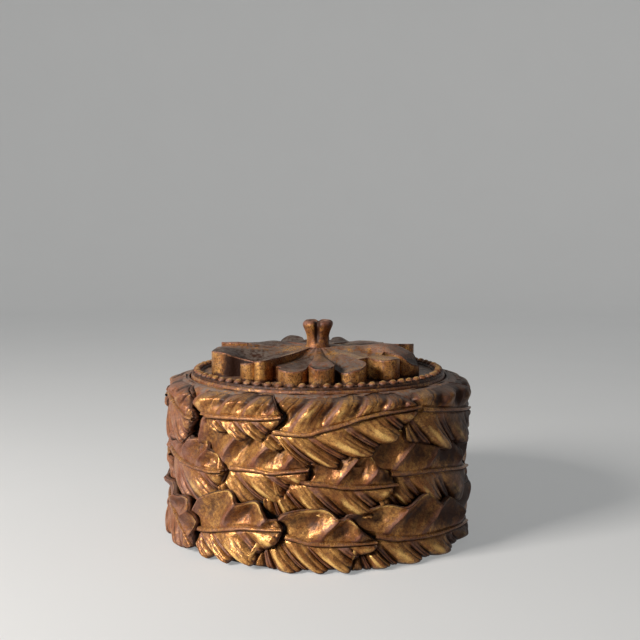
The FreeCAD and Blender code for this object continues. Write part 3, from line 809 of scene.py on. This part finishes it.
# Degrees off a petal's middle between which its wall gets painted deep shade, its top is made darker, or
# it gets a painted highlight.
SHADED_WALLS = {6: (-5.0, 6.0), 2: (18.0, 30.0), 1: (9.0, 13.0)}
DARKENED_TOPS = {6: (-20.0, 14.0), 5: (-30.0, 12.0), 4: (-30.0, 30.0)}
HIGHLIGHTED_TOPS = {2: (-34.0, -8.0), 3: (-34.0, -14.0)}
NOWHERE = (90.0, 90.0)
SOFT_EDGE = 4


def between(off, span):
    low, high = span
    return smooth((off - low) / SOFT_EDGE + 0.5) * smooth((high - off) / SOFT_EDGE + 0.5)


def petal_reach(off, web, lobes):
    """How far out the end of a petal is, at degrees off its middle: round lobes on a web."""
    reach = np.full_like(off, web * PETAL_REACH)
    for middle, half_width, share in lobes:
        spread = math.sin(math.radians(half_width))
        heart = share * PETAL_REACH / (1 + spread)
        aside = np.radians(off - middle)
        inside = np.maximum((heart * spread) ** 2 - (heart * np.sin(aside)) ** 2, 0.0)
        rounded = heart * np.cos(aside) + np.sqrt(inside)
        reach = np.where(np.abs(off - middle) <= half_width, np.maximum(reach, rounded), reach)
    return reach


def petal_crown(off, radius, bearings, lines):
    """Height of a petal's top: smooth along each line across it, then from line to line."""
    lines = np.vstack([np.full(len(bearings), PETAL_ROOT), lines])
    across = np.interp(off, bearings, np.arange(len(bearings)))
    ribs = curve(lines.T, across) * PETAL_HEIGHT
    place = radius * np.cos(np.radians(off)) / PETAL_REACH
    along = np.interp(place, LINE_PLACES, np.arange(len(lines)))
    return np.stack([curve(ribs[column][:, None], along[:, column])[:, 0]
                     for column in range(len(off))], axis=1)


def petal_object(number, web, lobes, bearings, lines):
    half = PETAL_SECTOR / 2 - PETAL_KERF
    off = np.linspace(-half, half, PETAL_COLUMNS)
    share = np.linspace(0, 1, PETAL_ROWS)[:, None]
    radius = PETAL_HEART + (petal_reach(off, web, lobes) - PETAL_HEART) * share
    height = petal_crown(off, radius, bearings, lines)
    height += GOUGE_MARK * np.sin(9 * share + 0.21 * off + number) * np.sin(0.33 * off + 3 * number)
    turn = FRONT + np.radians(PETAL_SECTOR * (number - 1) + off)
    top = around(radius, turn, LID_TOP + height)

    # Painted shade where the top dips below its surroundings and in the low part by the root; listed tops
    # are made darker, and listed tops get a painted highlight (raised).
    soft = blurred(height, PETAL_BLUR)
    crest = np.clip((height - soft) / 0.6, 0, 1)
    hollow = smooth((LOW_TOP - height) / 6) * smooth((1 - share) / 0.25)
    shade_mask = np.clip(np.clip((soft - height) / 0.5, 0, 1) + 0.8 * hollow, 0, 1)
    outer = smooth((share - 0.25) / 0.3)
    darkened = between(off, DARKENED_TOPS.get(number, NOWHERE)) * outer
    raised = between(off, HIGHLIGHTED_TOPS.get(number, NOWHERE)) * outer
    shade_mask = np.clip(shade_mask + 0.8 * darkened, 0, 1) * (1 - 0.7 * raised)
    masks = [table(crest, shade_mask, 0.0, 0.6 * raised)]

    border = grid_border(PETAL_ROWS, PETAL_COLUMNS)
    shaded = between(np.tile(off, PETAL_ROWS), SHADED_WALLS.get(number, NOWHERE))
    shade = shaded[border] * (np.array(border) >= PETAL_COLUMNS * (PETAL_ROWS - 1))
    loop = top[border]
    outward = left_of(np.roll(loop, -1, axis=0) - np.roll(loop, 1, axis=0))
    rings = [(step, loop[:, 2] - drop, worn) for step, drop, worn in PETAL_LIP]
    last_step, last_level, _ = rings[-1]
    rings += [(last_step, last_level * (1 - part) + LID_TOP * part, 0.0) for part in PETAL_WALL]
    points = [top]
    for step, level, worn in rings:
        points.append(np.column_stack([loop[:, :2] + outward * step, level]))
        # Painted shade at the wall's foot and on the listed shaded walls, which also get painted gap
        # shadow; WALL_GLEAM is a painted highlight.
        low = np.clip(1 - (level - LID_TOP) / FOOT_SHADE, 0, 1)
        painted_wall_shade = shade if worn == 0 else 0.0
        masks.append(table(worn, np.maximum(low, painted_wall_shade), 0.6 * painted_wall_shade, WALL_GLEAM))
    faces = flipped(grid_faces(PETAL_ROWS, PETAL_COLUMNS))
    walls = strips(ring_loops(border, len(top), len(rings)), closed=True)
    faces += [(a, d, c, b) for a, b, c, d in walls]
    return new_object(f"lid_petal_{number}_carved", np.concatenate(points), faces, np.concatenate(masks))


# Knob, from its foot up and over into the hollow of its top: (radius, height above its seat).
KNOB_PROFILE = (
    (10.8, 0.0), (10.6, 1.5), (10.3, 4.0), (10.2, 7.0), (10.6, 10.0), (11.4, 13.0), (12.5, 16.0),
    (13.5, 18.5), (13.8, 20.4), (13.1, 22.2), (11.4, 23.3), (9.4, 23.5), (7.4, 22.7), (5.2, 21.4),
    (2.8, 20.5), (0.3, 20.2),
)
KNOB_ROWS = 61
KNOB_COLUMNS = 96
KNOB_LOBES = 4
KNOB_TILT = math.radians(-4)
CLEFT_WIDTH = 0.22
CLEFT_DEPTH = 4.0
CLEFT_DIP = 1.4
LOBE_SWELL = 0.6


def knob_object():
    """A bud of four lobes, with clefts that deepen to its top."""
    profile = curve(KNOB_PROFILE, np.linspace(0, len(KNOB_PROFILE) - 1, KNOB_ROWS))
    radius, height = profile[:, :1], profile[:, 1:]
    turn = full_turn(KNOB_COLUMNS)
    off = (turn - FRONT - KNOB_TILT) / TURN * KNOB_LOBES
    off = np.abs(off - np.round(off)) * TURN / KNOB_LOBES
    cleft = bell(off, 0, CLEFT_WIDTH)
    depth = CLEFT_DEPTH * smooth((height - 1) / 14) * smooth(radius / 9)
    swell = LOBE_SWELL * smooth((height - 8) / 12) * smooth(radius / 9)
    across = radius - depth * cleft + swell * np.cos(2 * (off - math.pi / 4)) * (1 - cleft)
    level = KNOB_SEAT + height - CLEFT_DIP * cleft * smooth((height - 15) / 6)
    # Painted shade in the clefts; the lobes' tops are worn.
    shade_mask = np.clip(1.4 * cleft * smooth((height - 1) / 7), 0, 1)
    crest = smooth((height - 19) / 3) * (1 - cleft) * 0.6
    faces = grid_faces(KNOB_ROWS, KNOB_COLUMNS, closed=True)
    faces.append(tuple(range((KNOB_ROWS - 1) * KNOB_COLUMNS, KNOB_ROWS * KNOB_COLUMNS)))
    return new_object("knob_carved", around(across, turn, level), faces, table(crest, shade_mask, 0.0, 0.0))


STRIP_HALF = 4.5
STRIP_PROFILE = ((-4.4, 0.0), (-4.3, 1.2), (-3.6, 1.9), (0.0, 1.6), (3.6, 1.9), (4.3, 1.2), (4.4, 0.0))
# The strip's masks give it painted shade between the beads.
STRIP_MASKS = (0.3, 0.7, 0.1, 0.0)
STRIP_COLUMNS = 240
BEAD_CIRCLE = BEAD_REACH - STRIP_HALF
BEAD_RADIUS = 3.85
BEAD_SEAT = 1.5
BEADS = 71
BEAD_ROWS = 8
BEAD_COLUMNS = 14


def bead_object():
    """A low strip with slightly uneven round beads on it."""
    chance = np.random.default_rng(7)
    turn = full_turn(STRIP_COLUMNS)
    profile = np.asarray(STRIP_PROFILE)
    strip = around(BEAD_CIRCLE - profile[:, :1], turn, LID_TOP + profile[:, 1:])
    strip_faces = grid_faces(len(STRIP_PROFILE), STRIP_COLUMNS, closed=True)
    parts = [(strip, strip_faces, np.tile(STRIP_MASKS, (len(strip), 1)))]
    tall = np.linspace(0, math.pi / 2, BEAD_ROWS)[:, None]
    about = full_turn(BEAD_COLUMNS)
    top = np.sin(tall) ** 2 + 0 * about
    # Painted shade low on each bead, with painted gap shadow, and a painted highlight on its top.
    low = np.clip(1 - 4 * top, 0, 1)
    masks = table(0.4 * (1 - top), 0.9 * low, 0.5 * low, 0.8 * top)
    faces = flipped(grid_faces(BEAD_ROWS, BEAD_COLUMNS, closed=True))
    for bead in range(BEADS):
        middle = TURN * (bead + chance.uniform(-0.04, 0.04)) / BEADS
        size = BEAD_RADIUS * chance.uniform(0.93, 1.02)
        along = size * 1.02 * np.cos(tall) * np.cos(about)
        out = BEAD_CIRCLE + chance.uniform(-0.2, 0.2) + size * np.cos(tall) * np.sin(about)
        x = out * np.cos(middle) - along * np.sin(middle)
        y = out * np.sin(middle) + along * np.cos(middle)
        level = LID_TOP + BEAD_SEAT + size * 0.95 * np.sin(tall)
        parts.append((table(x, y, level), faces, masks))
    return new_object("bead_border_turned", *joined(parts))


# The rim, from the lid's seat over its shoulder: how far out from the seat and down from the top.
RIM_PROFILE = (
    (0.0, 8.9), (0.0, 0.7), (0.25, 0.2), (0.9, 0.0), (3.0, 0.25), (6.0, 1.2), (9.0, 3.1), (11.0, 5.8),
    (11.5, 8.9),
)
RIM_COLUMNS = 240


def rim_object():
    """A rounded ledge, a little uneven where it was carved."""
    profile = curve(RIM_PROFILE, np.linspace(0, len(RIM_PROFILE) - 1, 4 * len(RIM_PROFILE)))
    turn = full_turn(RIM_COLUMNS)
    uneven = 0.25 * np.sin(7 * turn) + 0.2 * np.sin(11 * turn + 1)
    level = RIM_TOP - profile[:, 1:] + uneven * np.clip(profile[:, :1] / 6, 0, 1)
    points = around(RIM_INNER + profile[:, :1], turn, level)
    faces = flipped(grid_faces(len(profile), RIM_COLUMNS, closed=True))
    return new_object("rim_carved", points, faces, np.zeros((len(points), 4)))


class Nodes:
    """A material's node tree, built by short calls."""

    def __init__(self, name):
        self.material = bpy.data.materials.new(name)
        self.material.use_nodes = True
        self.tree = self.material.node_tree
        self.shader = self.tree.nodes["Principled BSDF"]
        self.place = self.add("ShaderNodeTexCoord").outputs["Object"]

    def link(self, value, socket):
        if isinstance(value, bpy.types.NodeSocket):
            self.tree.links.new(value, socket)
        else:
            socket.default_value = value

    def give(self, name, value):
        self.link(value, self.shader.inputs[name])

    def add(self, kind, inputs=None):
        """A node with some of its inputs linked or set."""
        node = self.tree.nodes.new(kind)
        for key, value in (inputs or {}).items():
            self.link(value, node.inputs[key])
        return node

    def noise(self, scale, detail=4.0, roughness=0.55, stretch=None, place=None):
        place = place or self.place
        if stretch:
            place = self.add("ShaderNodeMapping", {"Scale": stretch, "Vector": place}).outputs["Vector"]
        inputs = {"Scale": scale, "Detail": detail, "Roughness": roughness, "Vector": place}
        return self.add("ShaderNodeTexNoise", inputs).outputs["Fac"]

    def math(self, operation, first, second):
        node = self.add("ShaderNodeMath", {0: first, 1: second})
        node.operation = operation
        return node.outputs[0]

    def weighted(self, value, weight, other):
        """A share of a value, added to another."""
        return self.math("ADD", self.math("MULTIPLY", value, weight), other)

    def ramp(self, value, low, high):
        """0 at low, 1 at high, smooth between."""
        node = self.add("ShaderNodeMapRange", {"From Min": low, "From Max": high, "Value": value})
        node.interpolation_type = "SMOOTHSTEP"
        return node.outputs["Result"]

    def mix(self, factor, first, second):
        node = self.add("ShaderNodeMix", {"Factor": factor})
        node.data_type = "RGBA"
        sockets = [socket for socket in node.inputs if socket.type == "RGBA"]
        self.link(first, sockets[0])
        self.link(second, sockets[1])
        return next(socket for socket in node.outputs if socket.type == "RGBA")

    def blend(self, factor, first, second):
        return self.add("ShaderNodeMix", {"Factor": factor, "A": first, "B": second}).outputs["Result"]

    def attribute(self, name):
        node = self.add("ShaderNodeAttribute")
        node.attribute_name = name
        return node.outputs

    def carve(self):
        found = self.attribute("carve")
        split = self.add("ShaderNodeSeparateColor", {"Color": found["Color"]}).outputs
        return split["Red"], split["Green"], split["Blue"], found["Alpha"]

    def up(self):
        normal = self.add("ShaderNodeNewGeometry").outputs["Normal"]
        return self.add("ShaderNodeSeparateXYZ", {"Vector": normal}).outputs["Z"]

    def bump(self, height, strength, distance):
        inputs = {"Strength": strength, "Distance": distance, "Height": height}
        self.give("Normal", self.add("ShaderNodeBump", inputs).outputs["Normal"])


HIGHLIGHT_AND_PALE_GOLD = (0.88, 0.53, 0.17, 1)
BRIGHT_GOLD = (0.68, 0.345, 0.10, 1)
DEEP_GOLD = (0.27, 0.102, 0.030, 1)
GRIME = (0.095, 0.034, 0.013, 1)
RED_BOLE = (0.17, 0.055, 0.030, 1)
MAUVE_BOLE = (0.22, 0.105, 0.078, 1)
PAINTED_SHADE_AND_SPECKS = (0.038, 0.012, 0.005, 1)
PAINTED_GAP_SHADOW = (0.012, 0.005, 0.003, 1)
DUST_AND_SHEEN_GREY = (0.21, 0.17, 0.14, 1)


def gilt(name, worn, dust_and_sheen, painted_shade, speckle=0.5, shine=1.0, grain=1.0, streaky=False):
    """Worn gold leaf over red bole: rubbed through on crests, painted shade in hollows, painted
    highlights, dust with a painted sheen on top.
    """
    nodes = Nodes(name)
    crest, shade_mask, deep, gleam = nodes.carve()
    patches = nodes.noise(34.0 * grain, 3.0)
    mottle = nodes.noise(170.0 * grain, 6.0, 0.66)
    if streaky:
        streaks = nodes.noise(4.5, 4.0, 0.6, place=nodes.attribute("streak")["Vector"])
        patches = nodes.blend(0.55, patches, streaks)
        mottle = nodes.blend(0.45, mottle, streaks)
    fleck = nodes.noise(430.0, 3.0, 0.6)
    grit = nodes.noise(950.0, 2.0, 0.6)
    tint = nodes.noise(95.0, 2.0)
    gold = nodes.mix(nodes.ramp(patches, 0.40, 0.66), DEEP_GOLD, BRIGHT_GOLD)
    gold = nodes.mix(nodes.math("MULTIPLY", nodes.ramp(fleck, 0.48, 0.57), 0.5), gold, GRIME)
    # Painted highlight: marked gleams turn pale gold, as do light patches of the mottle.
    lit = nodes.ramp(nodes.weighted(gleam, 0.5 * shine, mottle), 0.66, 0.98)
    gold = nodes.mix(lit, gold, HIGHLIGHT_AND_PALE_GOLD)
    bole = nodes.mix(nodes.ramp(tint, 0.38, 0.62), RED_BOLE, MAUVE_BOLE)
    wear = nodes.weighted(mottle, 0.65, nodes.math("MULTIPLY", fleck, 0.35))
    rubbed = nodes.weighted(crest, 0.5, wear)
    rubbed = nodes.ramp(nodes.math("ADD", rubbed, worn - 0.5), 0.42, 0.66)
    colour = nodes.mix(nodes.math("MULTIPLY", rubbed, 0.85), gold, bole)
    # Painted shade: marked hollows, creases and undersides darken to dark brown, with random mottle.
    shadow = nodes.weighted(shade_mask, 0.5, mottle)
    shadow = nodes.ramp(nodes.math("ADD", shadow, painted_shade - 0.5), 0.45, 0.85)
    colour = nodes.mix(shadow, colour, PAINTED_SHADE_AND_SPECKS)
    specks = nodes.math("MULTIPLY", nodes.ramp(grit, 0.54, 0.61), nodes.blend(lit, speckle, 0.2 * speckle))
    colour = nodes.mix(specks, colour, PAINTED_SHADE_AND_SPECKS)
    # Dust, with a painted grey sheen, on faces that look upward.
    lying = nodes.ramp(nodes.up(), 0.45, 0.95)
    dust_sheen_film = nodes.math("MULTIPLY", lying, nodes.ramp(wear, 0.42, 0.56))
    dust_sheen_film = nodes.math("MULTIPLY", dust_sheen_film, dust_and_sheen)
    colour = nodes.mix(dust_sheen_film, colour, DUST_AND_SHEEN_GREY)
    # Painted gap shadow: gaps, grooves under overlapping edges and turned-under edges go near-black.
    colour = nodes.mix(deep, colour, PAINTED_GAP_SHADOW)
    nodes.give("Base Color", colour)

    cover = nodes.math("MAXIMUM", nodes.math("MAXIMUM", rubbed, shadow), nodes.math("MAXIMUM", dust_sheen_film, deep))
    nodes.give("Metallic", nodes.blend(cover, 0.5, 0.0))
    gloss = nodes.weighted(fleck, 0.28, 0.14)
    nodes.give("Roughness", nodes.blend(cover, gloss, 0.5))
    nodes.give("Specular IOR Level", 0.22)
    nodes.bump(nodes.weighted(grit, 0.2, wear), 0.7, 0.0012)
    return nodes.material


def dark_wood(name, light, deep):
    """Stained wood with fine upright grain."""
    nodes = Nodes(name)
    grain = nodes.noise(60.0, 6.0, 0.6, stretch=(14, 14, 1))
    streak = nodes.noise(9.0, 3.0, 0.5, stretch=(16, 16, 1))
    colour = nodes.mix(nodes.ramp(grain, 0.35, 0.7), deep, light)
    colour = nodes.mix(nodes.math("MULTIPLY", nodes.ramp(streak, 0.5, 0.75), 0.5), colour, deep)
    nodes.give("Base Color", colour)
    nodes.give("Roughness", nodes.blend(grain, 0.55, 0.75))
    nodes.bump(grain, 0.25, 0.0005)
    return nodes.material


leaf_gilt = gilt("gilt_leaves_worn", worn=0.42, dust_and_sheen=0.3, painted_shade=0.42, speckle=0.45, streaky=True)
rim_gilt = gilt("gilt_rim_worn", worn=0.62, dust_and_sheen=0.8, painted_shade=0.5, shine=0.0)
bead_gilt = gilt("gilt_beads_worn", worn=0.46, dust_and_sheen=0.1, painted_shade=0.42, speckle=0.6, grain=1.7)
lid_gilt = gilt("gilt_lid_worn", worn=0.57, dust_and_sheen=0.5, painted_shade=0.5, speckle=0.7, shine=0.0, grain=1.6)
petal_gilt = gilt("gilt_petals_worn", worn=0.47, dust_and_sheen=0.6, painted_shade=0.46, speckle=0.9, grain=1.4)
knob_gilt = gilt("gilt_knob_worn", worn=0.5, dust_and_sheen=0.2, painted_shade=0.47, speckle=0.8, grain=1.8)
# The drum's wood is painted near-black, as the shade in the gaps between the leaves.
gap_shade_wood = dark_wood("wood_dark_as_gap_shade", light=(0.030, 0.015, 0.009, 1), deep=(0.012, 0.007, 0.004, 1))
plain_wood = dark_wood("aged_wood", light=(0.16, 0.085, 0.045, 1), deep=(0.075, 0.038, 0.020, 1))

upper_shapes = course_shapes("upper", UPPER_LEAVES, course_line(UPPER_COURSE, HALF_GAP),
                             lambda along: RIM_TOP - TOP_GAP)
middle_shapes = course_shapes("middle", MIDDLE_LEAVES, course_line(MIDDLE_COURSE, HALF_GAP),
                              course_line(UPPER_COURSE, -HALF_GAP))
lower_shapes = course_shapes("lower", LOWER_LEAVES, lambda along: FLOOR_GAP,
                             course_line(MIDDLE_COURSE, -HALF_GAP))
over_middle = [lower_edge for _, _, lower_edge in upper_shapes]
over_middle += [upper_edge for _, upper_edge, _ in lower_shapes]
leaf_course("upper", upper_shapes, [], leaf_gilt)
leaf_course("middle", middle_shapes, over_middle, leaf_gilt)
leaf_course("lower", lower_shapes, [], leaf_gilt)


def dress(node, material):
    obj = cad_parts[node]
    obj.data.materials.clear()
    obj.data.materials.append(material)


dress("drum_wall", gap_shade_wood)
dress("base_board", plain_wood)
dress("knob_dowel", plain_wood)
rim = rim_object()
rim.data.materials.append(rim_gilt)
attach(rim, "bowl")
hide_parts("rim_ring")
dress("lid_board", lid_gilt)


def lid_piece(obj, node, material):
    obj.data.materials.append(material)
    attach(obj, "lid")
    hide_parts(node)


for number, shape in enumerate(PETALS, start=1):
    petal = petal_object(number, *shape)
    lid_piece(petal, f"lid_petal_{number}", petal_gilt)
lid_piece(knob_object(), "knob", knob_gilt)
lid_piece(bead_object(), "bead_border", bead_gilt)


SWEEP_FLAT = 2.4
SWEEP_BEND = 1.1
SWEEP_TOP = 4.0
SWEEP_HEART = 0.001
SWEEP_COLUMNS = 96
BEND_ROWS = 24
BACKDROP_GLOW = 0.28
LIGHT_AIM = (0, 0, 0.08)
CAMERA_DIP = 5.09


def sweep_object():
    """A round floor that bends up into a backdrop without a line between them."""
    bend = np.linspace(0, math.pi / 2, BEND_ROWS)
    far = SWEEP_FLAT + SWEEP_BEND
    radius = np.concatenate([[SWEEP_HEART], SWEEP_FLAT + SWEEP_BEND * np.sin(bend), [far]])[:, None]
    level = np.concatenate([[0.0], SWEEP_BEND * (1 - np.cos(bend)), [SWEEP_TOP]])[:, None]
    points = around(radius, full_turn(SWEEP_COLUMNS), level)
    return new_object("floor", points / MM, grid_faces(len(radius), SWEEP_COLUMNS, closed=True))


def area_light(name, spot, size, power, colour):
    """A square light turned to the bowl."""
    light = bpy.data.lights.new(name, "AREA")
    light.shape = "RECTANGLE"
    light.size = size
    light.size_y = size
    light.energy = power
    light.color = colour
    obj = bpy.data.objects.new(name, light)
    bpy.context.scene.collection.objects.link(obj)
    aim = np.array(LIGHT_AIM) - np.array(spot)
    obj.location = spot
    obj.rotation_euler = (math.acos(-aim[2] / np.linalg.norm(aim)), 0,
                          math.atan2(aim[1], aim[0]) - math.pi / 2)


def stage():
    """A pale sweep, a key light from the left, a weak fill and the photograph's camera."""
    floor = sweep_object()
    nodes = Nodes("pale_sweep")
    tone = nodes.noise(3.0, 2.0)
    colour = nodes.mix(tone, (0.44, 0.435, 0.43, 1), (0.48, 0.475, 0.47, 1))
    nodes.give("Base Color", colour)
    nodes.give("Roughness", 0.8)
    light_path = nodes.add("ShaderNodeLightPath").outputs
    seen = nodes.math("MAXIMUM", light_path["Is Camera Ray"], light_path["Is Glossy Ray"])
    seen = nodes.math("MAXIMUM", seen, light_path["Is Transmission Ray"])
    nodes.give("Emission Color", (0.93, 0.95, 0.95, 1))
    nodes.give("Emission Strength", nodes.math("MULTIPLY", seen, BACKDROP_GLOW))
    floor.data.materials.append(nodes.material)

    world = bpy.data.worlds.new("studio")
    bpy.context.scene.world = world
    world.use_nodes = True
    background = world.node_tree.nodes["Background"]
    background.inputs["Color"].default_value = (0.82, 0.84, 0.86, 1)
    background.inputs["Strength"].default_value = 0.10

    area_light("key", (-1.24, -0.93, 0.82), size=0.5, power=45.0, colour=(1.0, 0.97, 0.93))
    area_light("fill", (0.1, -1.6, 0.9), size=1.2, power=0.3, colour=(1.0, 0.97, 0.94))

    camera = bpy.data.cameras.new("photo_view")
    camera.sensor_width = 36.0
    camera.lens = 54.0
    obj = bpy.data.objects.new("photo_view", camera)
    bpy.context.scene.collection.objects.link(obj)
    obj.location = (0.0018, -0.8436, 0.2586)
    obj.rotation_euler = (math.radians(90 - CAMERA_DIP), 0, 0)
    bpy.context.scene.camera = obj


stage()
bpy.context.scene.view_settings.view_transform = "Standard"
